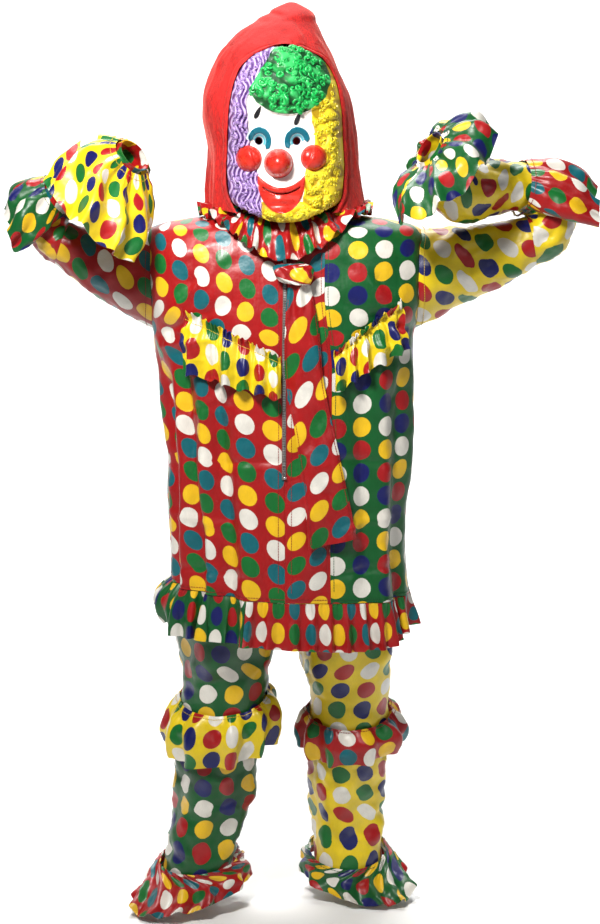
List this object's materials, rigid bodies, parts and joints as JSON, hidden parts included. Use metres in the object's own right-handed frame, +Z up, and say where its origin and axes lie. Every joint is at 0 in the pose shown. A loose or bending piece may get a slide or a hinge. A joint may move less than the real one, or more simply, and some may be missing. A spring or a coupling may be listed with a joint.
{
  "type": "child clown costume",
  "caption": "Child's clown costume worn with arms raised: dotted satin tunic in two colour halves with gathered frills and necktie, trousers with frills, pointed hood and moulded clown mask.",
  "frame": {"origin": "middle of the tunic's neck, at the base of the wearer's neck", "axes": "+Z up along the wearer, -Y the way the wearer faces, +X to the wearer's left"},
  "size_m": [0.8123, 0.3159, 1.2385],
  "materials": {
    "satin_red": "satin with printed dots",
    "satin_green": "satin with printed dots",
    "satin_yellow": "satin with printed dots",
    "plush_red": "short soft pile",
    "mask_shell": "vacuum-formed and painted",
    "zip_tape": "woven tape",
    "zip_metal": "polished"
  },
  "bodies": {
    "root": {"chest_frill_left": "satin_yellow", "chest_frill_right": "satin_yellow", "collar_frill": "satin_red", "elbow_frill_left": "satin_red", "elbow_frill_right": "satin_green", "foot_frill_left": "satin_green", "foot_frill_right": "satin_red", "hem_frill_left": "satin_red", "hem_frill_right": "satin_green", "hood_left": "plush_red", "hood_right": "plush_red", "knee_frill_left": "satin_red", "knee_frill_right": "satin_yellow", "mask": "mask_shell", "necktie_blade": "satin_red", "necktie_knot": "satin_red", "sleeve_fore_left": "satin_yellow", "sleeve_fore_right": "satin_red", "sleeve_upper_left": "satin_yellow", "sleeve_upper_right": "satin_red", "trouser_lower_left": "satin_yellow", "trouser_lower_right": "satin_green", "trouser_upper_left": "satin_yellow", "trouser_upper_right": "satin_green", "tunic_back_left": "satin_green", "tunic_back_right": "satin_red", "tunic_front_left": "satin_green", "tunic_front_right": "satin_red", "tunic_placket_left": "satin_red", "wrist_frill_left": "satin_green", "wrist_frill_right": "satin_yellow", "zip_slider": "zip_metal", "zip_tape": "zip_tape"}
  },
  "joints": []
}
